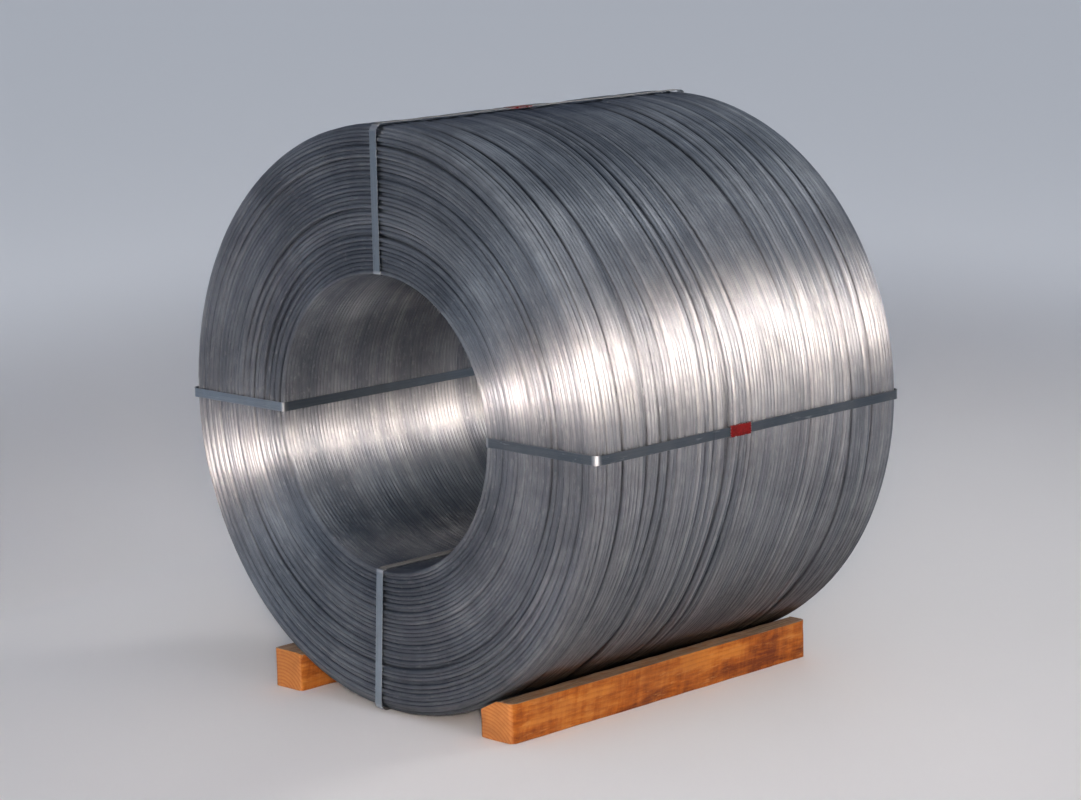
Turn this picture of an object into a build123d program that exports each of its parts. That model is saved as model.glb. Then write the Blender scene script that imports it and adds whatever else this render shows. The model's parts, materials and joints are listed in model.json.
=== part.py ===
import os
from math import acos, cos, radians, sin, sqrt, tan

from build123d import *

# A coil of nickel alloy wire lying on its side: +Y runs along its axis, +X is the right of its
# front face and Z is up from the floor that the two chocks stand on.

# Wire and winding
wire_diameter = 9.5
turns_per_layer = 94
layer_count = 36
bore_radius = 300.0
shoulder_radius = 16.0
layers_per_ring = 3
loose_rings = (2, 5, 8)
loose_set_back = 9.0
turn_groups = (6, 14, 15, 13, 17, 14)
group_gap = 12.0

# Straps and their seals
strap_width = 19.0
strap_thickness = 0.8
strap_lap = 150.0
strap_angles = {"top": 0.7, "right": 90.5, "bottom": 184.0, "left": 270.4}
seal_length = 60.0
seal_width = 24.0
seal_wall = 1.2
seal_edge_radius = 1.0
seal_from_front = 400.0
notch_depth = 1.5
notch_length = 7.0
notch_spacing = 28.0

# Timber chocks
chock_height = 82.0
chock_length = 880.0
right_chock_width = 100.0
right_seat_drop = 12.0
right_seat_run = 31.0
left_chock_width = 85.0
left_seat_drop = 2.0
left_seat_run = 4.0
chock_edge_radius = 6.0

# Clearances
fit_gap = 0.3
floor_gap = 4.0

# Sizes worked out from the ones above
wire_radius = wire_diameter / 2
layer_pitch = wire_diameter * sqrt(3) / 2
coil_length = turns_per_layer * wire_diameter
half_length = coil_length / 2
outer_radius = bore_radius + wire_diameter + (layer_count - 1) * layer_pitch
centre_height = outer_radius + floor_gap
coil_axis = Axis((0, 0, centre_height), (0, 1, 0))
radius_plane = Plane.XY.offset(centre_height)

os.makedirs("parts", exist_ok=True)


def end_outline():
    """Points across the back half of the winding's section, from the bore out to the outside."""
    points = [(bore_radius, half_length - wire_radius), (bore_radius + wire_radius, half_length)]
    first_ring = bore_radius + wire_radius + (layers_per_ring - 1) / 2 * layer_pitch
    for ring in range(layer_count // layers_per_ring):
        radius = first_ring + ring * layers_per_ring * layer_pitch
        if radius > outer_radius - shoulder_radius:
            break
        # layers lie in the grooves of those below, so every second ring stands half a wire back
        set_back = loose_set_back if ring in loose_rings else wire_radius * (ring % 2)
        points.append((radius, half_length - set_back))
    shoulder_centre = outer_radius - shoulder_radius
    shoulder_end = half_length - shoulder_radius
    for degrees in (90, 45, 0):
        along = shoulder_radius * sin(radians(degrees))
        out = shoulder_radius * cos(radians(degrees))
        points.append((shoulder_centre + out, shoulder_end + along))
    return points


def outside_gaps():
    """Points of the gaps between groups of outermost turns, from the coil's front to its back."""
    points = []
    turns_passed = 0
    for group in turn_groups:
        turns_passed += group
        middle = turns_passed * wire_diameter - half_length
        if middle > half_length - shoulder_radius - group_gap:
            break
        # a gap opens down to the wires of the layer below
        points.append((outer_radius, middle - group_gap / 2))
        points.append((outer_radius - layer_pitch, middle))
        points.append((outer_radius, middle + group_gap / 2))
    return points


# The wound wire: one ring, turned from the section of the winding
with BuildPart() as wire_coil:
    with BuildSketch(radius_plane):
        with BuildLine():
            back_end = end_outline()
            front_end = [(radius, -along) for radius, along in reversed(back_end)]
            Polyline(*back_end, *reversed(outside_gaps()), *front_end, close=True)
        make_face()
    revolve(axis=coil_axis)
wire_coil.part.label = "wire_coil"
export_step(wire_coil.part, "parts/wire_coil.step")


def strap_plane(clock_degrees):
    """The plane of one strap: its x runs out from the coil's axis and its y along the coil."""
    angle = radians(clock_degrees)
    return Plane(
        origin=(0, 0, centre_height),
        x_dir=(sin(angle), 0, cos(angle)),
        z_dir=(-cos(angle), 0, sin(angle)),
    )


# A flat strap in the round bore touches at its two edges first
strap_bore_side = sqrt(bore_radius**2 - (strap_width / 2) ** 2) - fit_gap
strap_outer_side = outer_radius + fit_gap
strap_end_side = half_length + fit_gap
seal_along = seal_from_front - half_length


def strap_outline(grow):
    """The strap's rounded rectangle, grown outwards by a thickness."""
    near = strap_bore_side - grow
    far = strap_outer_side + grow
    end = strap_end_side + grow
    bore_bend = wire_radius + fit_gap + grow
    shoulder_bend = shoulder_radius + fit_gap + grow
    corners = [(near, -end), (far, -end), (far, end), (near, end)]
    bends = [bore_bend, shoulder_bend, shoulder_bend, bore_bend]
    FilletPolyline(*corners, radius=bends, close=True)


def make_strap(name, clock_degrees):
    """One steel strap round the coil's section, through the bore, its ends lapped under the seal."""
    with BuildPart() as strap:
        with BuildSketch(strap_plane(clock_degrees)):
            with BuildLine():
                strap_outline(strap_thickness)
            make_face()
            with BuildLine():
                strap_outline(0)
            make_face(mode=Mode.SUBTRACT)
            with Locations((strap_outer_side + strap_thickness * 1.5, seal_along)):
                Rectangle(strap_thickness, strap_lap)
        extrude(amount=strap_width / 2, both=True)
    strap.part.label = name
    export_step(strap.part, f"parts/{name}.step")


def make_seal(name, clock_degrees):
    """The crimped seal that closes a strap: a channel over it, notched in pairs along its sides."""
    plane = strap_plane(clock_degrees)
    seat = strap_outer_side
    roof = seat + 2 * strap_thickness + fit_gap
    section_plane = Plane(
        origin=plane.origin + plane.y_dir * (seal_along - seal_length / 2),
        x_dir=plane.x_dir,
        z_dir=plane.y_dir,
    )
    with BuildPart() as seal:
        with BuildSketch(section_plane):
            with Locations(((seat + roof + seal_wall) / 2, 0)):
                Rectangle(roof + seal_wall - seat, seal_width)
            with Locations(((seat + roof) / 2, 0)):
                Rectangle(roof - seat, strap_width + 2 * fit_gap, mode=Mode.SUBTRACT)
        extrude(amount=seal_length)
        outward = Axis(plane.origin, plane.x_dir)
        fillet(seal.edges().filter_by(Axis.Y).group_by(outward)[-1], seal_edge_radius)
        notch_plane = Plane(
            origin=plane.origin + plane.y_dir * seal_along + plane.x_dir * seat,
            x_dir=plane.y_dir,
            z_dir=plane.x_dir,
        )
        with BuildSketch(notch_plane):
            with GridLocations(notch_spacing, seal_width, 2, 2):
                Rectangle(notch_length, 2 * notch_depth)
        extrude(amount=roof + seal_wall - seat, mode=Mode.SUBTRACT)
    seal.part.label = name
    export_step(seal.part, f"parts/{name}.step")


for side, clock_degrees in strap_angles.items():
    make_strap(f"strap_{side}", clock_degrees)
    make_seal(f"seal_{side}", clock_degrees)


def make_chock(name, side, width, seat_drop, seat_run):
    """A sawn bearer along the coil, its inner top edge cut to a seat that meets the coil."""
    seat_height = chock_height - seat_drop
    reach = outer_radius + fit_gap
    seat_angle = acos((centre_height - seat_height) / reach)
    seat_x = reach * sin(seat_angle)
    inner_x = seat_x - seat_run
    outer_x = inner_x + width
    top_x = seat_x + seat_drop / tan(seat_angle)
    inner_height = seat_height - seat_run * tan(seat_angle)
    outline = [(inner_x, 0), (outer_x, 0), (outer_x, chock_height), (top_x, chock_height)]
    outline.append((inner_x, inner_height))
    with BuildPart() as chock:
        with BuildSketch(Plane.XZ):
            with BuildLine():
                Polyline(*[(side * x, z) for x, z in outline], close=True)
            make_face()
        extrude(amount=chock_length / 2, both=True)
        outer_edges = chock.edges().filter_by(Axis.Y).group_by(Axis.X)[-1 if side > 0 else 0]
        fillet(outer_edges, chock_edge_radius)
    chock.part.label = name
    export_step(chock.part, f"parts/{name}.step")


make_chock("chock_right", 1, right_chock_width, right_seat_drop, right_seat_run)
make_chock("chock_left", -1, left_chock_width, left_seat_drop, left_seat_run)
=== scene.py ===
import json
from math import acos, cos, pi, radians, sin, sqrt

import bpy
import numpy as np
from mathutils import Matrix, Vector

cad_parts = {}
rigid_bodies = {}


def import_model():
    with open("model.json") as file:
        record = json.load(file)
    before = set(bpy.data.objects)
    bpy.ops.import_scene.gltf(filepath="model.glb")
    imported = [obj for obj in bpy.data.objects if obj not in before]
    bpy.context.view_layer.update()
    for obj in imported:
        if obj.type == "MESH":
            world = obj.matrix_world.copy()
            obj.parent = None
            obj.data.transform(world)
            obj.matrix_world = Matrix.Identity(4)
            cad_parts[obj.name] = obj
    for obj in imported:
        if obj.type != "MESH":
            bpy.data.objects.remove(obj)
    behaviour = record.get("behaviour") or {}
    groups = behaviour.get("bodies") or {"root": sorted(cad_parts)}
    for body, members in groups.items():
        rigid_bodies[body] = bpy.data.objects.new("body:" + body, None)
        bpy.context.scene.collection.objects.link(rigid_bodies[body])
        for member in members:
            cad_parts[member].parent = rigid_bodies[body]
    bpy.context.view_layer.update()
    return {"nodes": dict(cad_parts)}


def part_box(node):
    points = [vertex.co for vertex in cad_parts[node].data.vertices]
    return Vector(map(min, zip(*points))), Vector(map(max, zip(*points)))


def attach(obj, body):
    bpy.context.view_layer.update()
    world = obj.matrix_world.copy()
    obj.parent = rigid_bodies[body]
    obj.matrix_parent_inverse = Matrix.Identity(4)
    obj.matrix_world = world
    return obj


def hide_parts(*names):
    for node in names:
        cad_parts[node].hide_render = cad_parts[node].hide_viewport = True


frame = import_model()

# A coil of nickel alloy wire on two chocks. Single turns of wire are laid over the turned ring,
# the chocks are sawn and worn, and every piece gets its finish. All lengths are in metres.

# Wire and winding, as the turned ring has them
WIRE_DIAMETER = 0.0095
WIRE_RADIUS = WIRE_DIAMETER / 2
LAYER_PITCH = WIRE_DIAMETER * sqrt(3) / 2
LAYER_COUNT = 36
coil_low, coil_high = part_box("wire_coil")
HALF_LENGTH = coil_high[1]
OUTER_RADIUS = (coil_high[0] - coil_low[0]) / 2
BORE_RADIUS = OUTER_RADIUS - WIRE_DIAMETER - (LAYER_COUNT - 1) * LAYER_PITCH
CENTRE_HEIGHT = (coil_high[2] + coil_low[2]) / 2

# Clock angles of the four straps, in degrees, and where their seals sit along the coil
STRAP_ANGLES = {"top": 0.7, "right": 90.5, "bottom": 184.0, "left": 270.4}
STRAP_HALF_WIDTH = 0.0095
SEAL_HALF_WIDTH = 0.012
SEAL_HALF_LENGTH = 0.030
SEAL_PLACE = 0.400 - HALF_LENGTH

# How finely a turn is made: steps round the coil, and round the wire
FINE_TURN = (128, 8)
BORE_TURN = (96, 8)
COVERED_TURN = (96, 6)

CHANCE = np.random.default_rng(36)


def deselect_all():
    bpy.ops.object.select_all(action="DESELECT")


def only(piece):
    """Makes one object the selected and active one."""
    deselect_all()
    piece.select_set(True)
    bpy.context.view_layer.objects.active = piece


# Paths of the turns
def ring_angles(steps):
    return np.arange(steps) * 2 * pi / steps


def waves(count, angles, harmonics, reach=0):
    """Smooth closed waves round the coil, a row for each turn; as many neighbours as the reach
    move together."""
    total = np.zeros((count, len(angles)))
    margin = 4 * max(reach, 1)
    spread = np.exp(-0.5 * (np.arange(-margin, margin + 1) / max(reach, 0.01)) ** 2)
    spread /= sqrt((spread ** 2).sum())
    for harmonic in harmonics:
        for wave in (np.sin(harmonic * angles), np.cos(harmonic * angles)):
            weight = np.convolve(CHANCE.normal(0, 1, count + 2 * margin), spread, mode="same")
            total += weight[margin:-margin, None] * wave[None, :] / sqrt(harmonic)
    return total / sqrt(sum(1 / harmonic for harmonic in harmonics))


def spell(angles, middle, width):
    """A smooth hump round one clock angle, in degrees, that fades out on both sides."""
    away = (np.degrees(angles) - middle + 180) % 360 - 180
    return np.exp(-0.5 * (away / width) ** 2)


# Turns that climb over each other lie no closer along the coil than this share of a diameter
CLOSEST_TURNS = 0.75


def spread_turns(radius, half_length, slack):
    """Places along the coil: neighbours touch, and the length left over opens as gaps by the
    slack."""
    climb = np.diff(radius, axis=0)
    closest = (CLOSEST_TURNS * WIRE_DIAMETER) ** 2
    touching = np.sqrt(np.maximum(WIRE_DIAMETER ** 2 - climb ** 2, closest))
    spare = 2 * half_length - WIRE_DIAMETER - touching.sum(axis=0, keepdims=True)
    gaps = slack * spare / slack.sum(axis=0, keepdims=True)
    start = np.full((1, radius.shape[1]), WIRE_RADIUS - half_length)
    return np.vstack([start, start + np.cumsum(touching + gaps, axis=0)])


# How much turns differ in tone, each from the next and in stretches, and how a stretch fades out
TONE_ALONE = 0.13
TONE_TOGETHER = 0.20
TONE_STRETCH = (0.25, 0.6, 1.0, 0.6, 0.25)


def turn_tones(count, spread=1.0):
    """How light each turn is, from 0 to 1: neighbours come off the same stretch and are alike."""
    alone = CHANCE.normal(0, TONE_ALONE, count)
    together = np.convolve(CHANCE.normal(0, TONE_TOGETHER, count + 8), TONE_STRETCH, mode="same")
    return np.clip(0.5 + spread * (alone + together[4:-4]), 0, 1)


def row_of_turns(name, count, steps, sides):
    """One turn of wire as a torus, repeated along the coil and applied."""
    deselect_all()
    bpy.ops.mesh.primitive_torus_add(
        major_segments=steps, minor_segments=sides, major_radius=OUTER_RADIUS,
        minor_radius=WIRE_RADIUS, generate_uvs=True)
    lap = bpy.context.object
    lap.name = name
    row = lap.modifiers.new("row of turns", "ARRAY")
    row.use_relative_offset = False
    row.use_constant_offset = True
    row.constant_offset_displace = (0, 0, WIRE_DIAMETER)
    row.count = count
    only(lap)
    bpy.ops.object.modifier_apply(modifier=row.name)
    bpy.ops.object.shade_smooth()
    return lap


def lay_turns(name, sides, radius, along, tones=None):
    """A lap of turns, each on its own path: radius and place along the coil at each angle."""
    count, steps = radius.shape
    lap = row_of_turns(name, count, steps, sides)
    turn_angles = ring_angles(steps)
    side_angles = ring_angles(sides)
    out = radius[:, :, None] + WIRE_RADIUS * np.cos(side_angles)[None, None, :]
    y = along[:, :, None] + WIRE_RADIUS * np.sin(side_angles)[None, None, :]
    x = out * np.sin(turn_angles)[None, :, None]
    z = CENTRE_HEIGHT + out * np.cos(turn_angles)[None, :, None]
    places = np.stack([x, y, z], axis=-1).reshape(-1, 3)
    mesh = lap.data
    mesh.vertices.foreach_set("co", places.ravel())
    tones = turn_tones(count) if tones is None else tones
    # each turn's tone, which for the proud turns is a painted highlight
    shade = mesh.attributes.new("turn_tone", "FLOAT", "POINT")
    shade.data.foreach_set("value", np.repeat(tones, steps * sides))
    mesh.update()
    only(lap)
    bpy.ops.object.mode_set(mode="EDIT")
    bpy.ops.mesh.select_all(action="SELECT")
    bpy.ops.mesh.normals_make_consistent(inside=False)
    bpy.ops.object.mode_set(mode="OBJECT")
    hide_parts("wire_coil")
    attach(lap, "root")


# The outermost lap. Its gaps and its proud turns are given by their share of the coil's length
# from its front, and each gap by how wide it opens against the others.
OUTER_GAPS = {
    0.022: 0.8, 0.065: 2.3, 0.146: 0.9, 0.18: 0.6, 0.213: 1.7, 0.336: 1.0, 0.364: 1.8,
    0.403: 1.2, 0.431: 1.7, 0.48: 0.6, 0.655: 1.2, 0.70: 1.9, 0.753: 0.9, 0.81: 1.5, 0.85: 2.0,
    0.93: 1.2}
PROUD_TURNS = (0.034, 0.125, 0.24, 0.317, 0.35, 0.386, 0.42, 0.465, 0.677, 0.722, 0.784, 0.834,
               0.90, 0.965)
OUTER_END_GAP = 0.012
TURNS_LEFT_OUT = 10
OUTER_SINK = 0.0026
DEEPEST_SINK = 0.005
GROUP_WANDER = 0.0009
TURN_WANDER = 0.0006
RIPPLE = 0.00007
END_TURN_SINK = 0.0015
PROUD_LIFT = 0.0024
PROUD_SPELL = 70
# proud turns are painted lighter than the others: a painted highlight
PROUD_PAINTED_HIGHLIGHT = 0.9
TIGHT_SLACK = 0.02
SLACK_WANDER = 0.9

# The lap under it shows through the gaps
SECOND_END_GAP = 0.006
SECOND_WANDER = 0.0003


def make_outer_laps():
    """The outermost lap, with its gaps and its proud turns, these painted lighter as a highlight,
    and the tight lap under it.
    """
    steps, sides = FINE_TURN
    angles = ring_angles(steps)
    half = HALF_LENGTH - OUTER_END_GAP
    count = int(2 * half / WIRE_DIAMETER) - TURNS_LEFT_OUT
    # turns wander in and out in groups, one by one, and in small ripples
    lift = GROUP_WANDER * waves(count, angles, (1, 2, 3, 4), reach=2)
    lift += TURN_WANDER * waves(count, angles, (1, 2, 3, 5, 8))
    lift += RIPPLE * waves(count, angles, (17, 23, 31))
    tones = turn_tones(count)
    for place in PROUD_TURNS:
        turn = int(place * (count - 1))
        most = spell(angles, CHANCE.uniform(0, 360), PROUD_SPELL)
        lift[turn] += PROUD_LIFT * (0.45 + 0.55 * most)
        # a proud turn's tone is lifted as a painted highlight
        tones[turn] = 0.15 * tones[turn] + PROUD_PAINTED_HIGHLIGHT
    radius = OUTER_RADIUS - WIRE_RADIUS - np.clip(OUTER_SINK - lift, 0, DEEPEST_SINK)
    radius[0] -= END_TURN_SINK
    radius[-1] -= END_TURN_SINK
    slack = np.full((count - 1, steps), TIGHT_SLACK)
    for place, width in OUTER_GAPS.items():
        slack[int(place * (count - 2))] += width
    slack *= np.exp(SLACK_WANDER * waves(count - 1, angles, (1, 2, 3, 5)))
    lay_turns("outer_turns", sides, radius, spread_turns(radius, half, slack), tones)

    steps, sides = COVERED_TURN
    angles = ring_angles(steps)
    half = HALF_LENGTH - SECOND_END_GAP
    count = int(2 * half / WIRE_DIAMETER)
    radius = OUTER_RADIUS - WIRE_RADIUS - OUTER_SINK - LAYER_PITCH + (
        SECOND_WANDER * waves(count, angles, (1, 2, 3)))
    along = spread_turns(radius, half, np.ones((count - 1, steps)))
    lay_turns("second_layer_turns", sides, radius, along)


# The innermost lap: how far it lies back from the bore, how much it wanders, and how its tones
# differ from those of other laps, lifted as painted light
BORE_GIVE = 0.00025
BORE_WANDER = 0.00015
BORE_MOST_GIVE = 0.0008
BORE_TONE_SPREAD = 0.75
BORE_PAINTED_LIGHT = 0.12


def make_bore_lap():
    """The innermost lap, wound tight on the mandrel, more even than others, lighter by painted
    light.
    """
    steps, sides = BORE_TURN
    angles = ring_angles(steps)
    # the length is a whole number of turns, which rounding could otherwise make one fewer
    count = int(2 * HALF_LENGTH / WIRE_DIAMETER + 0.001)
    give = np.clip(BORE_GIVE + BORE_WANDER * waves(count, angles, (1, 2, 3)), 0, BORE_MOST_GIVE)
    radius = BORE_RADIUS + WIRE_RADIUS + give
    along = spread_turns(radius, HALF_LENGTH, np.ones((count - 1, steps)))
    # the lift of its tones is painted light in the bore
    tones = turn_tones(count, BORE_TONE_SPREAD) + BORE_PAINTED_LIGHT
    lay_turns("bore_turns", sides, radius, along, tones)


# Where the wire climbs from layer to layer the end turns stand uneven, at these clock angles
CLIMB_ANGLES = {"front_turns": 310, "back_turns": 130}
CLIMB_SCATTER = 45
SUNK_LAYERS = (6, 7, 15, 24, 25)

# How far the end turns stand back: all of them, in waves, where they climb, and here and there
END_SET_BACK = 0.0006
END_WANDER = 0.0007
CLIMB_DIP = 0.005
SUNK_LAYER_DIP = 0.003
STRAY_DIP = 0.004
STRAY_SHARE = 0.5
DEEPEST_SET_BACK = 0.011
SIDE_WANDER = 0.0006
SIDE_RIPPLE = 0.00005
ROW_BEHIND = 1.05 * WIRE_DIAMETER


def make_end_turns(name, end):
    """The last turns of each layer at one end, and a plain row behind them."""
    steps, sides = FINE_TURN
    layers = np.arange(1, LAYER_COUNT - 2)
    count = len(layers)
    angles = ring_angles(steps)
    # layers lie in the grooves of those below, so every second one stands back by half a wire
    half_wire = WIRE_RADIUS * (layers % 2)[:, None]
    step = 0.5 + 0.25 * waves(count, angles, (1, 2, 3), reach=2)
    set_back = half_wire * np.clip(step, 0.15, 0.9)
    set_back += END_SET_BACK + END_WANDER * waves(count, angles, (1, 2, 3, 4), reach=1)
    for layer in range(count):
        middle = CLIMB_ANGLES[name] + CHANCE.normal(0, CLIMB_SCATTER)
        sunk = layers[layer] in SUNK_LAYERS
        depth = CHANCE.uniform(0.0, CLIMB_DIP) + SUNK_LAYER_DIP * sunk
        set_back[layer] += depth * spell(angles, middle, CHANCE.uniform(12, 32))
        if CHANCE.uniform() < STRAY_SHARE:
            stray = spell(angles, CHANCE.uniform(0, 360), CHANCE.uniform(10, 25))
            set_back[layer] += STRAY_DIP * stray
    along = end * (HALF_LENGTH - WIRE_RADIUS - np.clip(set_back, 0, DEEPEST_SET_BACK))
    base = BORE_RADIUS + WIRE_RADIUS + LAYER_PITCH * layers[:, None]
    radius = base + SIDE_WANDER * waves(count, angles, (1, 2, 3, 5))
    radius = radius + SIDE_RIPPLE * waves(count, angles, (17, 29))
    lay_turns(name, sides, radius, along)

    steps, sides = COVERED_TURN
    along = end * (HALF_LENGTH - WIRE_RADIUS - half_wire - ROW_BEHIND)
    straight = np.zeros((1, steps))
    lay_turns(name + "_second", sides, base + straight, along + straight)


# Timber chocks: the side each lies on, how far its seat drops, and how round its seat and its
# upright arrises are worn
CHOCK_SEATS = {"chock_right": (1, 0.012, 0.019, 0.016), "chock_left": (-1, 0.002, 0.0022, 0.008)}
CHOCK_GAP = 0.0003
OUTER_TOP_ROUND = 0.008
FOOT_ROUND = 0.004
END_ROUND = 0.0020
OUTER_SIDE_REACH = 0.03
SAW_STATIONS = 44
SAW_LEVELS = (0.2, 0.4, 0.6, 0.8)
UNEVEN_PATCH = 0.06
UNEVEN_DEPTH = 0.0030

# Which of a chock's edges are meant: upright ones rise, long ones run, and others lie in a plane
UPRIGHT_RISE = 0.05
LONG_RUN = 0.5
FOOT_HEIGHT = 0.001
SAME_PLANE = 1e-5
SMOOTH_ANGLE = radians(40)


def select_edges(piece, wanted):
    """Selects the edges whose two ends both answer to a test, in edit mode's edge mode."""
    bpy.ops.object.mode_set(mode="EDIT")
    bpy.ops.mesh.select_mode(type="EDGE")
    bpy.ops.mesh.select_all(action="DESELECT")
    bpy.ops.object.mode_set(mode="OBJECT")
    places = [vertex.co.copy() for vertex in piece.data.vertices]
    for edge in piece.data.edges:
        edge.select = wanted(places[edge.vertices[0]], places[edge.vertices[1]])
    bpy.ops.object.mode_set(mode="EDIT")


def wear_round(reach, facets):
    """Wears the selected edges round."""
    bpy.ops.mesh.bevel(
        offset=reach, segments=facets, profile=0.5, affect="EDGES", clamp_overlap=True)


def cut_across(place, normal, **settings):
    bpy.ops.mesh.select_all(action="SELECT")
    bpy.ops.mesh.bisect(plane_co=place, plane_no=normal, **settings)


def make_chock(name, side, seat_drop, seat_round, upright_round):
    """A sawn bearer: a block cut to its seat, with its arrises worn round and its faces uneven."""
    low, high = (np.array(corner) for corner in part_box(name))
    deselect_all()
    bpy.ops.mesh.primitive_cube_add(size=1, location=(low + high) / 2)
    chock = bpy.context.object
    chock.name = name + "_timber"
    chock.scale = high - low
    bpy.ops.object.transform_apply(location=True, rotation=True, scale=True)

    # its four upright arrises are worn round before the seat is cut
    select_edges(chock, lambda a, b: abs(a.z - b.z) > UPRIGHT_RISE)
    wear_round(upright_round, 4)

    # the seat is a plane along the coil's outside, a small gap away from it
    reach = OUTER_RADIUS + CHOCK_GAP
    lean = acos((CENTRE_HEIGHT - high[2] + seat_drop) / reach)
    seat = (side * reach * sin(lean), 0, CENTRE_HEIGHT - reach * cos(lean))
    inward = (-side * sin(lean), 0, cos(lean))
    bpy.ops.object.mode_set(mode="EDIT")
    cut_across(seat, inward, use_fill=True, clear_outer=True)

    # the long arrises are worn round, those of the seat most
    tall = high[2] - low[2]
    outer_side = high[0] if side > 0 else low[0]

    def on_the_seat(place):
        return place.z > low[2] + tall / 2 and abs(place.x - outer_side) > OUTER_SIDE_REACH

    def on_the_outer_top(place):
        return place.z > low[2] + tall / 2 and abs(place.x - outer_side) < OUTER_SIDE_REACH

    def at_the_foot(place):
        return place.z < low[2] + FOOT_HEIGHT

    for of_this_arris, round_off in (
            (on_the_seat, seat_round), (on_the_outer_top, OUTER_TOP_ROUND),
            (at_the_foot, FOOT_ROUND)):
        select_edges(chock, lambda a, b: (
            abs(a.y - b.y) > LONG_RUN and of_this_arris(a) and of_this_arris(b)))
        wear_round(round_off, 3)
    ends = (low[1], high[1])
    select_edges(chock, lambda a, b: any(
        abs(a.y - y) < SAME_PLANE and abs(b.y - y) < SAME_PLANE for y in ends))
    wear_round(END_ROUND, 2)

    # cuts across it give its faces enough places to be uneven
    for station in range(1, SAW_STATIONS):
        cut_across((0, low[1] + (high[1] - low[1]) * station / SAW_STATIONS, 0), (0, 1, 0))
    for level in SAW_LEVELS:
        cut_across((0, 0, low[2] + tall * level), (0, 0, 1))
        cut_across((low[0] + (high[0] - low[0]) * level, 0, 0), (1, 0, 0))
    bpy.ops.mesh.select_all(action="SELECT")
    bpy.ops.mesh.normals_make_consistent(inside=False)
    bpy.ops.object.mode_set(mode="OBJECT")

    cloud = bpy.data.textures.new(name + " unevenness", "CLOUDS")
    cloud.noise_scale = UNEVEN_PATCH
    uneven = chock.modifiers.new("uneven faces", "DISPLACE")
    uneven.texture = cloud
    uneven.texture_coords = "LOCAL"
    uneven.mid_level = 1.0
    uneven.strength = UNEVEN_DEPTH
    only(chock)
    bpy.ops.object.modifier_apply(modifier=uneven.name)
    bpy.ops.object.shade_smooth_by_angle(angle=SMOOTH_ANGLE)
    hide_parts(name)
    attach(chock, "root")
    return chock


# Nodes that the finishes are made of
def place_node(tree, kind, inputs=None, **settings):
    """Adds a node; each of its inputs is given a value or the socket that feeds it."""
    node = tree.nodes.new(kind)
    for name, value in settings.items():
        setattr(node, name, value)
    for name, value in (inputs or {}).items():
        if isinstance(value, bpy.types.NodeSocket):
            tree.links.new(value, node.inputs[name])
        else:
            node.inputs[name].default_value = value
    return node


def worked(tree, operation, first, second=0.0, third=0.0, clamp=False):
    """A sum that is worked out at each place on the surface."""
    terms = {0: first, 1: second, 2: third}
    return place_node(
        tree, "ShaderNodeMath", terms, operation=operation, use_clamp=clamp).outputs[0]


def times(tree, first, second, clamp=False):
    return worked(tree, "MULTIPLY", first, second, clamp=clamp)


def plus(tree, base, value, weight=1.0):
    """A base and a weighted value together."""
    return worked(tree, "MULTIPLY_ADD", value, weight, base)


def less(tree, first, second):
    return worked(tree, "SUBTRACT", first, second)


def larger(tree, first, second):
    return worked(tree, "MAXIMUM", first, second)


def size_of(tree, value):
    return worked(tree, "ABSOLUTE", value)


def ranged(tree, value, from_low, from_high, to_low=0.0, to_high=1.0):
    node = place_node(tree, "ShaderNodeMapRange", {
        "Value": value, "From Min": from_low, "From Max": from_high,
        "To Min": to_low, "To Max": to_high})
    return node.outputs["Result"]


def ramped(tree, value, stops):
    """A colour ramp through (place, colour) stops."""
    node = place_node(tree, "ShaderNodeValToRGB", {"Fac": value})
    elements = node.color_ramp.elements
    while len(elements) < len(stops):
        elements.new(0.5)
    for element, (place, color) in zip(elements, stops):
        element.position = place
        element.color = (*color, 1)
    return node.outputs["Color"]


def blended(tree, factor, first, second, blend="MIX"):
    node = place_node(tree, "ShaderNodeMix", data_type="RGBA", blend_type=blend)
    for socket, value in ((0, factor), (6, first), (7, second)):
        if isinstance(value, bpy.types.NodeSocket):
            tree.links.new(value, node.inputs[socket])
        else:
            node.inputs[socket].default_value = value if socket == 0 else (*value, 1)
    return node.outputs[2]


def covered(tree, color, mask, strength, layer):
    """A colour with another laid over it: where the mask says, and at most by the strength."""
    return blended(tree, times(tree, mask, strength), color, layer)


def mapped(tree, vector, location=(0, 0, 0), rotation=(0, 0, 0), scale=(1, 1, 1), kind="POINT"):
    node = place_node(tree, "ShaderNodeMapping", {
        "Vector": vector, "Location": location, "Rotation": rotation, "Scale": scale},
        vector_type=kind)
    return node.outputs["Vector"]


def noise(tree, vector, scale, detail=2.0, roughness=0.5, distortion=0.0):
    node = place_node(tree, "ShaderNodeTexNoise", {
        "Vector": vector, "Scale": scale, "Detail": detail, "Roughness": roughness,
        "Distortion": distortion})
    return node.outputs["Fac"]


def grain(tree, vector, stretch, detail, roughness=0.5, distortion=0.0):
    """Noise that is fine along one axis and long along another, by its stretch."""
    return noise(tree, mapped(tree, vector, scale=stretch), 1.0, detail, roughness, distortion)


def parts_of(tree, vector):
    return place_node(tree, "ShaderNodeSeparateXYZ", {0: vector}).outputs


def feed(tree, inputs, **sockets):
    for name, value in sockets.items():
        tree.links.new(value, inputs[name.replace("_", " ")])


def new_group(name, inputs, outputs):
    """An empty effect with named inputs, each a vector where it has no value, and named outputs."""
    tree = bpy.data.node_groups.new(name, "ShaderNodeTree")
    for socket, value in inputs.items():
        kind = "NodeSocketVector" if value is None else "NodeSocketFloat"
        made = tree.interface.new_socket(name=socket, in_out="INPUT", socket_type=kind)
        if value is not None:
            made.default_value = value
    for socket in outputs:
        kind = "NodeSocketColor" if socket == "Color" else "NodeSocketFloat"
        tree.interface.new_socket(name=socket, in_out="OUTPUT", socket_type=kind)
    given = tree.nodes.new("NodeGroupInput")
    result = tree.nodes.new("NodeGroupOutput")
    return tree, given.outputs, result.inputs


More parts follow.
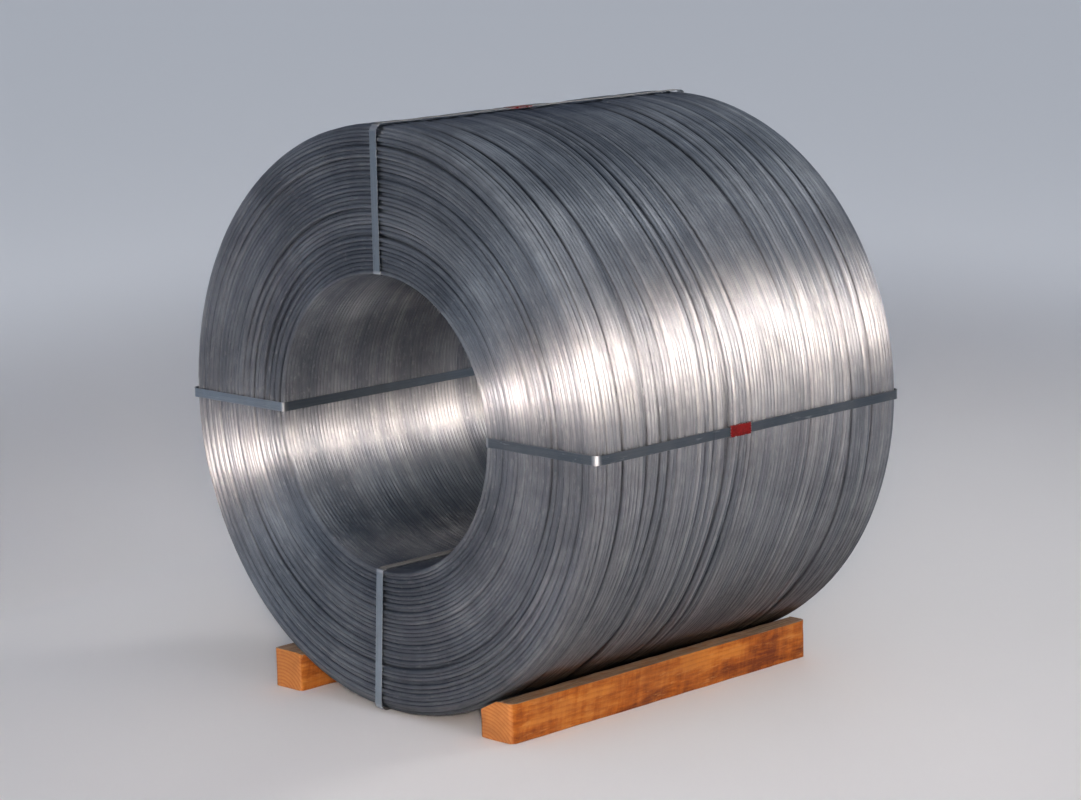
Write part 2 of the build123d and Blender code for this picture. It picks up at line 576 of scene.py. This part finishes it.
def use_group(tree, name, **inputs):
    """Places an effect, with the values or sockets that its inputs take here."""
    inputs = {socket.replace("_", " "): value for socket, value in inputs.items()}
    group = bpy.data.node_groups[name]
    return place_node(tree, "ShaderNodeGroup", inputs, node_tree=group).outputs


# Effects that several materials share
def make_dull_group():
    """Uneven dulling: broad patches broken up by finer ones, from 0 for clean to 1 for dull."""
    tree, given, result = new_group(
        "dull patches", {"Vector": None, "Scale": 4.0, "Cover": 0.5}, ["Mask"])
    broad = noise(tree, given["Vector"], given["Scale"], detail=3.0)
    fine = noise(tree, given["Vector"], times(tree, given["Scale"], 6.5), detail=4.0)
    start = less(tree, 1.02, given["Cover"])
    over = less(tree, plus(tree, broad, fine, 0.45), start)
    feed(tree, result, Mask=times(tree, over, 3.2, clamp=True))


def make_scuff_group():
    """Small rubbed spots and short scratches, from 0 for untouched to 1 for bare."""
    tree, given, result = new_group(
        "scuffs", {"Vector": None, "Scale": 60.0, "Amount": 0.3}, ["Mask"])
    spots = noise(tree, given["Vector"], given["Scale"], detail=5.0, roughness=0.62)
    start = plus(tree, 0.72, given["Amount"], -0.35)
    feed(tree, result, Mask=times(tree, less(tree, spots, start), 12.0, clamp=True))


def make_edge_group():
    """Wear along an edge, by how far a place is from the middle: from 0 inside to 1 on the rim."""
    tree, given, result = new_group(
        "edge wear", {"Distance": 0.0, "Half Width": 0.01, "Rim": 0.002}, ["Mask"])
    inside = less(tree, given["Half Width"], given["Rim"])
    away = size_of(tree, given["Distance"])
    feed(tree, result, Mask=ranged(tree, away, inside, given["Half Width"]))


def make_upward_group():
    """What lies on faces that look up, such as dust: from 0 at its start to 1 where it is full."""
    tree, given, result = new_group(
        "upward faces", {"Normal": None, "Start": 0.75, "Full": 0.97}, ["Mask"])
    up = parts_of(tree, given["Normal"])["Z"]
    feed(tree, result, Mask=ranged(tree, up, given["Start"], given["Full"]))


BLUED_SHADES = ((0.30, (0.185, 0.228, 0.270)), (0.70, (0.265, 0.312, 0.360)))
DULL_STEEL = (0.25, 0.265, 0.28)
BARE_STEEL_AND_GLINT = (0.62, 0.65, 0.68)
DARK_RUN_STEEL = (0.020, 0.026, 0.036)
STEEL_DUST = (0.150, 0.145, 0.140)
OUTSIDE_RUN_DARKENING = 0.38
BORE_RUN_PAINTED_SHADE = 0.64
ROLLED_STRETCH = (900, 7, 7)
STREAK_STRETCH = (260, 22, 22)

# How far from the end faces, inside the outside and outside the bore a strap's bends lie, each
# from where their pale rubbing and painted glint starts to where it is full
END_BEND = (0.014, 0.002)
OUTSIDE_BEND = (0.014, 0.003)
BORE_BEND = (0.009, 0.003)
RUN_DEPTH = 0.002


def make_blued_steel_group():
    """Blued steel in a strap's own frame: rolled lengthwise, toned by painted light, its bends
    rubbed and painted pale as a glint, its run along the outside darker and its run through the
    bore darker still as painted shade."""
    tree, given, result = new_group(
        "blued steel",
        {"Vector": None, "Tone": 1.0, "Edge": 0.0, "Rubbed": 0.0, "Dull": 0.0, "Dust": 0.0},
        ["Color", "Roughness", "Metallic", "Height"])
    place = given["Vector"]
    parts = parts_of(tree, place)
    rolled = grain(tree, place, ROLLED_STRETCH, detail=3.0)
    streaks = grain(tree, place, STREAK_STRETCH, detail=4.0, roughness=0.65)
    worn = times(tree, given["Edge"], ranged(tree, streaks, 0.40, 0.62))
    worn = times(tree, larger(tree, worn, given["Rubbed"]), 0.45)
    along, out = size_of(tree, parts["Y"]), parts["Z"]
    near_end = ranged(tree, along, HALF_LENGTH - END_BEND[0], HALF_LENGTH - END_BEND[1])
    at_outside = ranged(tree, out, OUTER_RADIUS - OUTSIDE_BEND[0], OUTER_RADIUS - OUTSIDE_BEND[1])
    at_bore = ranged(tree, out, BORE_RADIUS + BORE_BEND[1], BORE_RADIUS + BORE_BEND[0], 1.0, 0.0)
    bend = times(tree, near_end, larger(tree, at_outside, at_bore))
    blued = ramped(tree, rolled, BLUED_SHADES)
    # each strap's tone is painted light and shade
    toned = blended(tree, 1.0, blued, given["Tone"], blend="MULTIPLY")
    color = covered(tree, toned, given["Dull"], 0.4, DULL_STEEL)
    # edges worn pale, and bends rubbed and painted pale as a glint
    color = blended(tree, larger(tree, worn, bend), color, BARE_STEEL_AND_GLINT)
    # the run along the outside is darker, and the run through the bore darker still as painted
    # shade
    outside_run = ranged(tree, out, OUTER_RADIUS - RUN_DEPTH, OUTER_RADIUS, 0.0, OUTSIDE_RUN_DARKENING)
    bore_run_shade = ranged(tree, out, BORE_RADIUS, BORE_RADIUS + RUN_DEPTH, BORE_RUN_PAINTED_SHADE, 0.0)
    color = blended(tree, larger(tree, outside_run, bore_run_shade), color, DARK_RUN_STEEL)
    color = covered(tree, color, given["Dust"], 0.85, STEEL_DUST)
    rough = plus(tree, plus(tree, 0.26, given["Dull"], 0.12), streaks, 0.16)
    rough = plus(tree, rough, given["Dust"], 0.34)
    metal = plus(tree, 0.92, given["Dust"], -0.70)
    height = plus(tree, rolled, streaks, 0.5)
    feed(tree, result, Color=color, Roughness=rough, Metallic=metal, Height=height)


RED_SHADES = ((0.35, (0.090, 0.0015, 0.002)), (0.65, (0.165, 0.003, 0.004)))
DULL_RED = (0.13, 0.022, 0.018)
RUBBED_RED = (0.30, 0.022, 0.018)
CHIPPED_STEEL = (0.33, 0.34, 0.36)
RED_DUST = (0.150, 0.110, 0.100)


def make_red_paint_group():
    """Red paint, uneven in its film, chipped to steel along its edges, rubbed, dulled and dusty."""
    tree, given, result = new_group(
        "red paint", {"Vector": None, "Edge": 0.0, "Rubbed": 0.0, "Dull": 0.0, "Dust": 0.0},
        ["Color", "Roughness", "Metallic", "Height"])
    place = given["Vector"]
    chips = noise(tree, place, 420.0, detail=4.0, roughness=0.7)
    chipped = ranged(tree, plus(tree, chips, given["Edge"], 0.22), 0.70, 0.74)
    film = noise(tree, place, 900.0, detail=2.0)
    color = ramped(tree, noise(tree, place, 55.0, detail=3.0), RED_SHADES)
    color = covered(tree, color, given["Dull"], 0.15, DULL_RED)
    color = covered(tree, color, given["Rubbed"], 0.30, RUBBED_RED)
    color = blended(tree, chipped, color, CHIPPED_STEEL)
    color = covered(tree, color, given["Dust"], 0.35, RED_DUST)
    rough = plus(tree, 0.28, given["Dull"], 0.20)
    rough = plus(tree, rough, given["Dust"], 0.45)
    height = plus(tree, film, chipped, -1.5)
    feed(tree, result, Color=color, Roughness=rough, Metallic=chipped, Height=height)


PINE_SHADES = ((0.39, (0.115, 0.018, 0.001)), (0.48, (0.30, 0.076, 0.005)),
               (0.58, (0.47, 0.165, 0.024)))
LATE_WOOD = (0.16, 0.036, 0.005)
PALE_FIBRE = (0.48, 0.18, 0.035)
SAW_SHADOW = (0.20, 0.055, 0.012)
BROKEN_ARRIS = (0.42, 0.30, 0.20)
WEATHERED_SHADES = ((0.35, (0.085, 0.064, 0.046)), (0.65, (0.30, 0.225, 0.155)))
END_GRAIN_SHADES = ((0.0, (0.60, 0.255, 0.080)), (1.0, (0.47, 0.165, 0.045)))
DULL_PINE = (0.17, 0.065, 0.025)
TORN_PINE = (0.56, 0.27, 0.08)
RINGS_EACH_METRE = 130.0
RING_WANDER = 0.030
SAW_SLANT = radians(11)
WANDER_STRETCH = (5, 1.2, 5)
FIBRE_STRETCH = (420, 9, 420)
SAW_STRETCH = (20, 300, 12)
SWEEP_STRETCH = (12, 46, 9)
STAIN_STRETCH = (14, 5, 26)
BROKEN_STRETCH = (30, 26, 60)
WEATHER_STRETCH = (160, 8, 160)


def make_sawn_pine_group():
    """Rough sawn pine: growth rings about a pith line, saw marks across, a weathered top and paler
    ends."""
    tree, given, result = new_group(
        "sawn pine",
        {"Vector": None, "Pith X": 0.0, "Pith Z": 0.0, "Normal": None, "Top": 0.0, "Arris": 0.0,
         "Dull": 0.0, "Torn": 0.0},
        ["Color", "Roughness", "Height"])
    place = given["Vector"]
    parts = parts_of(tree, place)
    off_x = less(tree, parts["X"], given["Pith X"])
    off_z = less(tree, parts["Z"], given["Pith Z"])
    squares = worked(
        tree, "ADD", worked(tree, "POWER", off_x, 2.0), worked(tree, "POWER", off_z, 2.0))
    wander = grain(tree, place, WANDER_STRETCH, detail=2.0)
    from_pith = plus(tree, worked(tree, "SQRT", squares), wander, RING_WANDER)
    ring = worked(tree, "FRACT", times(tree, from_pith, RINGS_EACH_METRE))
    late = ranged(tree, ring, 0.45, 0.95)
    fibre = grain(tree, place, FIBRE_STRETCH, detail=4.0, roughness=0.65)
    saw_place = mapped(tree, place, rotation=(SAW_SLANT, 0, 0))
    saw = grain(tree, saw_place, SAW_STRETCH, detail=3.0)
    sweep = grain(tree, saw_place, SWEEP_STRETCH, detail=5.0, roughness=0.62, distortion=0.4)
    stain = grain(tree, place, STAIN_STRETCH, detail=5.0, roughness=0.66)
    shade = worked(tree, "ADD", times(tree, sweep, 0.28), times(tree, stain, 0.72))
    wood = ramped(tree, shade, PINE_SHADES)
    wood = covered(tree, wood, late, 0.30, LATE_WOOD)
    wood = blended(tree, ranged(tree, fibre, 0.42, 0.75, 0.0, 0.25), wood, PALE_FIBRE)
    wood = blended(tree, ranged(tree, saw, 0.54, 0.72, 0.0, 0.14), wood, SAW_SHADOW)
    broken = grain(tree, place, BROKEN_STRETCH, detail=4.0, roughness=0.7)
    arris = times(tree, given["Arris"], ranged(tree, broken, 0.36, 0.56, 0.15, 0.85))
    wood = blended(tree, arris, wood, BROKEN_ARRIS)
    grey = ramped(tree, grain(tree, place, WEATHER_STRETCH, detail=4.0), WEATHERED_SHADES)
    weathered = times(tree, given["Top"], ranged(tree, stain, 0.30, 0.55, 0.95, 0.55))
    wood = blended(tree, weathered, wood, grey)
    end = ranged(tree, size_of(tree, parts_of(tree, given["Normal"])["Y"]), 0.6, 0.9)
    wood = covered(tree, wood, end, 0.75, ramped(tree, late, END_GRAIN_SHADES))
    wood = covered(tree, wood, given["Dull"], 0.30, DULL_PINE)
    wood = covered(tree, wood, given["Torn"], 0.30, TORN_PINE)
    height = plus(tree, plus(tree, fibre, late, 0.35), saw, 0.7)
    rough = ranged(tree, fibre, 0.3, 0.7, 0.72, 0.92)
    feed(tree, result, Color=wood, Roughness=rough, Height=height)


# Materials
def principled(name):
    """A new material, with its tree and its shader."""
    material = bpy.data.materials.new(name)
    material.use_nodes = True
    tree = material.node_tree
    return material, tree, tree.nodes["Principled BSDF"]


def object_place(tree):
    return place_node(tree, "ShaderNodeTexCoord").outputs["Object"]


def surface_normal(tree):
    return place_node(tree, "ShaderNodeNewGeometry").outputs["Normal"]


def bumped(tree, height, depth):
    return place_node(tree, "ShaderNodeBump", {
        "Height": height, "Distance": depth, "Strength": 1.0}).outputs["Normal"]


# The wire's shades from dark to light; the lightest is reached mostly by the proud turns, whose
# tone is a painted highlight
WIRE_SHADES = ((0.18, (0.175, 0.195, 0.228)), (0.52, (0.312, 0.332, 0.364)),
               (0.78, (0.44, 0.452, 0.475)), (0.98, (0.64, 0.65, 0.66)))
DULL_WIRE = (0.165, 0.178, 0.205)
RUBBED_WIRE = (0.55, 0.56, 0.57)
WIRE_PAINTED_SHADE = (0.055, 0.058, 0.066)
DRAW_MARK_DEPTH = 0.00035

# Draw marks: how many round the coil and round the wire, and how far each tone shifts them
MARKS_ROUND_COIL = 26.0
MARKS_ROUND_WIRE = 9.0
MARKS_SHIFT = 170.0

# Painted shade on the outside, from these depths under it and from its full height up to its top
PAINTED_SHADE_DEPTHS = (0.030, 0.008)
PAINTED_SHADE_HEIGHTS = (0.06, 0.52)
PAINTED_SHADE_MOST = 0.62


def make_wire_material():
    """Drawn wire: a satin metal with lengthwise draw marks, each turn of its own tone. Proud turns
    are painted lighter as a highlight, and the outside darker towards the bottom as painted shade.
    """
    material, tree, shader = principled("drawn nickel alloy wire")
    place = object_place(tree)
    uv = parts_of(tree, place_node(tree, "ShaderNodeUVMap").outputs["UV"])
    # each turn's tone, with the proud turns' painted highlight
    tone = place_node(tree, "ShaderNodeAttribute", attribute_name="turn_tone").outputs["Fac"]
    marks_place = place_node(tree, "ShaderNodeCombineXYZ", {
        "X": times(tree, uv["X"], MARKS_ROUND_COIL), "Y": times(tree, uv["Y"], MARKS_ROUND_WIRE),
        "Z": times(tree, tone, MARKS_SHIFT)}).outputs["Vector"]
    marks = noise(tree, marks_place, 1.0, detail=4.0, roughness=0.6)
    patches = use_group(tree, "dull patches", Vector=place, Scale=5.0, Cover=0.42)["Mask"]
    rub_place = mapped(tree, marks_place, scale=(4.0, 0.35, 1.0))
    rubbed = use_group(tree, "scuffs", Vector=rub_place, Scale=1.0, Amount=0.45)["Mask"]
    color = ramped(tree, plus(tree, times(tree, marks, 0.75), tone, 0.42), WIRE_SHADES)
    color = covered(tree, color, patches, 0.55, DULL_WIRE)
    color = covered(tree, color, rubbed, 0.30, RUBBED_WIRE)
    # painted shade: the outside is darkened towards the bottom
    across = mapped(tree, place, location=(0, 0, -CENTRE_HEIGHT), scale=(1, 0, 1))
    from_axis = place_node(tree, "ShaderNodeVectorMath", {0: across}, operation="LENGTH")
    deep, shallow = (OUTER_RADIUS - depth for depth in PAINTED_SHADE_DEPTHS)
    outside = ranged(tree, from_axis.outputs["Value"], deep, shallow, 0.0, PAINTED_SHADE_MOST)
    shaded_underside = ranged(tree, parts_of(tree, place)["Z"], *PAINTED_SHADE_HEIGHTS, 1.0, 0.0)
    color = covered(tree, color, outside, shaded_underside, WIRE_PAINTED_SHADE)
    rough = plus(tree, plus(tree, 0.36, marks, 0.16), patches, 0.08)
    tangent = place_node(tree, "ShaderNodeTangent", direction_type="UV_MAP").outputs["Tangent"]
    feed(tree, shader.inputs, Base_Color=color, Roughness=rough,
         Normal=bumped(tree, marks, DRAW_MARK_DEPTH), Tangent=tangent)
    shader.inputs["Metallic"].default_value = 1.0
    shader.inputs["Anisotropic"].default_value = 0.96
    shader.inputs["Anisotropic Rotation"].default_value = 0.25
    return material


def strap_place(tree, clock_degrees):
    """Places in a strap's own frame: x across it, y along the coil, z out from the coil's axis."""
    centred = mapped(tree, object_place(tree), location=(0, 0, CENTRE_HEIGHT), kind="TEXTURE")
    return mapped(tree, centred, rotation=(0, -radians(clock_degrees), 0))


def dust_on(tree):
    """Dust on the faces that look up."""
    normal = surface_normal(tree)
    return use_group(tree, "upward faces", Normal=normal, Start=0.75, Full=0.97)["Mask"]


# How light each strap's blued steel is painted, as painted light and shade
STRAP_PAINTED_LIGHT = {"top": 1.25, "right": 0.62, "bottom": 1.50, "left": 1.50}
STRAP_RIM = 0.0016
ROLLED_DEPTH = 0.00008


def make_strap_material(side, clock_degrees):
    """Blued steel strap: long edges rubbed pale, top dusty, tone painted light and shade."""
    material, tree, shader = principled(f"blued steel strap, {side}")
    place = strap_place(tree, clock_degrees)
    across = parts_of(tree, place)["X"]
    edge = use_group(
        tree, "edge wear", Distance=across, Half_Width=STRAP_HALF_WIDTH, Rim=STRAP_RIM)["Mask"]
    rub_place = mapped(tree, place, scale=(7, 1, 1))
    rubbed = use_group(tree, "scuffs", Vector=rub_place, Scale=22.0, Amount=0.3)["Mask"]
    patches = use_group(tree, "dull patches", Vector=place, Scale=7.0, Cover=0.40)["Mask"]
    steel = use_group(
        tree, "blued steel", Vector=place, Tone=STRAP_PAINTED_LIGHT[side], Edge=edge, Rubbed=rubbed,
        Dull=patches, Dust=dust_on(tree))
    feed(tree, shader.inputs, Base_Color=steel["Color"], Roughness=steel["Roughness"],
         Metallic=steel["Metallic"], Normal=bumped(tree, steel["Height"], ROLLED_DEPTH))
    return material


SEAL_SIDE_RIM = 0.0022
SEAL_END_RIM = 0.0030
PAINT_DEPTH = 0.00005


def make_seal_material(side, clock_degrees):
    """Red painted seal, its paint chipped to steel along its edges and ends."""
    material, tree, shader = principled(f"red painted seal, {side}")
    place = strap_place(tree, clock_degrees)
    parts = parts_of(tree, place)
    sides = use_group(
        tree, "edge wear", Distance=parts["X"], Half_Width=SEAL_HALF_WIDTH,
        Rim=SEAL_SIDE_RIM)["Mask"]
    from_middle = less(tree, parts["Y"], SEAL_PLACE)
    ends = use_group(
        tree, "edge wear", Distance=from_middle, Half_Width=SEAL_HALF_LENGTH,
        Rim=SEAL_END_RIM)["Mask"]
    rubbed = use_group(tree, "scuffs", Vector=place, Scale=180.0, Amount=0.55)["Mask"]
    patches = use_group(tree, "dull patches", Vector=place, Scale=30.0, Cover=0.45)["Mask"]
    paint = use_group(
        tree, "red paint", Vector=place, Edge=larger(tree, sides, ends), Rubbed=rubbed,
        Dull=patches, Dust=dust_on(tree))
    shader.inputs["Specular IOR Level"].default_value = 0.12
    feed(tree, shader.inputs, Base_Color=paint["Color"], Roughness=paint["Roughness"],
         Metallic=paint["Metallic"], Normal=bumped(tree, paint["Height"], PAINT_DEPTH))
    return material


SAWN_DEPTH = 0.0011

# The log's pith lay below a chock, by this depth, and this share of its width from its left
PITH_SHARE = 0.2
PITH_DEPTH = 0.03


def make_pine_material(name, pith):
    """The sawn pine of one chock, with its own pith line."""
    material, tree, shader = principled(name)
    place = object_place(tree)
    normal = surface_normal(tree)
    top = use_group(tree, "upward faces", Normal=normal, Start=0.60, Full=0.90)["Mask"]
    arris = use_group(tree, "upward faces", Normal=normal, Start=0.10, Full=0.50)["Mask"]
    patches = use_group(tree, "dull patches", Vector=place, Scale=9.0, Cover=0.40)["Mask"]
    torn_place = mapped(tree, place, scale=(2.2, 0.35, 2.2))
    torn = use_group(tree, "scuffs", Vector=torn_place, Scale=55.0, Amount=0.35)["Mask"]
    pine = use_group(
        tree, "sawn pine", Vector=place, Pith_X=pith[0], Pith_Z=pith[1], Normal=normal, Top=top,
        Arris=arris, Dull=patches, Torn=torn)
    shader.inputs["Specular IOR Level"].default_value = 0.25
    feed(tree, shader.inputs, Base_Color=pine["Color"], Roughness=pine["Roughness"],
         Normal=bumped(tree, pine["Height"], SAWN_DEPTH))
    return material


def coat(piece, material):
    piece.data.materials.clear()
    piece.data.materials.append(material)


# Stage, camera and light
FLOOR_SIZE = 120
FLOOR_PALE = (0.81, 0.82, 0.835, 1)


def make_stage():
    """The pale floor."""
    deselect_all()
    bpy.ops.mesh.primitive_plane_add(size=FLOOR_SIZE, location=(0, 0, 0))
    floor = bpy.context.object
    floor.name = "floor"
    material, _, shader = principled("pale floor")
    shader.inputs["Base Color"].default_value = FLOOR_PALE
    shader.inputs["Roughness"].default_value = 0.9
    coat(floor, material)


# The photograph's camera: its place, the point it looks at, its roll in degrees and its lens
CAMERA_PLACE = (4.727, -4.660, 1.761)
CAMERA_AIM = (0.0, 0.0, 0.585)
CAMERA_ROLL = -1.69
SENSOR_WIDTH = 36.0
PHOTO_WIDTH = 1081
FOCAL_PIXELS = 3230


def turned_to(place, target):
    """The turn that makes a camera or a lamp at one place look at another."""
    return (Vector(target) - Vector(place)).to_track_quat("-Z", "Y").to_euler()


def make_camera():
    data = bpy.data.cameras.new("camera")
    data.sensor_width = SENSOR_WIDTH
    data.lens = SENSOR_WIDTH * FOCAL_PIXELS / PHOTO_WIDTH
    camera = bpy.data.objects.new("camera", data)
    bpy.context.collection.objects.link(camera)
    camera.location = CAMERA_PLACE
    camera.rotation_euler = turned_to(CAMERA_PLACE, CAMERA_AIM)
    camera.rotation_euler.rotate_axis("Z", radians(CAMERA_ROLL))
    bpy.context.scene.camera = camera


COIL_MIDDLE = (0, 0, CENTRE_HEIGHT)

# The lamps over the floor: side, middle across and along the coil, width, depth and power
FLOOR_LAMPS = (
    ("behind", 0, 34.5, 120, 60, 9500), ("in front", 0, -34.5, 120, 60, 6800),
    ("on the left", -32.25, 0, 55.5, 9, 660), ("on the right", 32.25, 0, 55.5, 9, 660))
FLOOR_LAMP_HEIGHT = 6.0
STUDIO_DARK = (0.080, 0.100, 0.146, 1)


def lamp(name, size, power, place, color, spread=180, target=COIL_MIDDLE, length=None):
    """A soft lamp: a disk, or a strip where a length is given; its spread narrows its beam."""
    data = bpy.data.lights.new(name, "AREA")
    data.shape = "DISK"
    data.size = size
    if length:
        data.shape = "RECTANGLE"
        data.size_y = length
    data.energy = power
    data.color = color
    data.spread = radians(spread)
    light = bpy.data.objects.new(name, data)
    bpy.context.collection.objects.link(light)
    light.visible_camera = False
    light.location = place
    light.rotation_euler = turned_to(place, target)


def light_scene():
    """A soft key beside the camera, which draws the bright bands on the wire, and soft fills."""
    lamp("key", 1.1, 55, (5.4, -5.3, 2.2), (1.0, 0.83, 0.72), spread=60)
    lamp("low front", 1.4, 9, (5.6, -5.4, 0.85), (1.0, 0.85, 0.75), spread=60)
    lamp("high front", 4.8, 44, (4.7, -4.8, 5.6), (0.97, 0.97, 1.0), spread=130)
    lamp("high right", 2.4, 12, (2.4, -0.6, 6.0), (0.97, 0.98, 1.0), spread=110)
    lamp("tall right", 1.0, 12, (8.0, 1.5, 3.4), (1.0, 0.90, 0.82), spread=60,
         target=(0, 1.5, 0.6), length=5.0)
    lamp("back right", 1.6, 36, (2.8, 7.4, 2.6), (1.0, 0.95, 0.89), spread=70)
    lamp("front fill", 3.0, 15, (-0.6, -7.0, 3.4), (0.90, 0.95, 1.0), spread=110)
    lamp("left fill", 3.5, 16, (-3.6, -5.6, 3.6), (1.0, 0.96, 0.93))
    lamp("back fill", 2.0, 11, (-5.5, 5.5, 2.3), (1.0, 0.94, 0.87), spread=70)
    lamp("top", 5.0, 34, (-0.5, 0.5, 6.0), (0.90, 0.95, 1.0))
    # these lie over the floor all round the coil and light nothing else
    for side, x, y, wide, deep, power in FLOOR_LAMPS:
        lamp(f"floor {side}", wide, power, (x, y, FLOOR_LAMP_HEIGHT), (0.95, 0.97, 1.0),
             spread=40, target=(x, y, 0.0), length=deep)
    world = bpy.data.worlds.new("studio")
    bpy.context.scene.world = world
    world.use_nodes = True
    background = world.node_tree.nodes["Background"]
    background.inputs["Color"].default_value = STUDIO_DARK
    background.inputs["Strength"].default_value = 1.0
    bpy.context.scene.view_settings.view_transform = "Standard"


make_outer_laps()
make_bore_lap()
make_end_turns("front_turns", -1)
make_end_turns("back_turns", 1)

make_dull_group()
make_scuff_group()
make_edge_group()
make_upward_group()
make_blued_steel_group()
make_red_paint_group()
make_sawn_pine_group()

wire = make_wire_material()
for lap in [piece for piece in bpy.data.objects if "_turns" in piece.name]:
    coat(lap, wire)
for side, clock_degrees in STRAP_ANGLES.items():
    coat(frame["nodes"][f"strap_{side}"], make_strap_material(side, clock_degrees))
    coat(frame["nodes"][f"seal_{side}"], make_seal_material(side, clock_degrees))
for name, shape in CHOCK_SEATS.items():
    low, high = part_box(name)
    pith = (low[0] + PITH_SHARE * (high[0] - low[0]), low[2] - PITH_DEPTH)
    coat(make_chock(name, *shape), make_pine_material(f"sawn pine, {name}", pith))

make_stage()
make_camera()
light_scene()
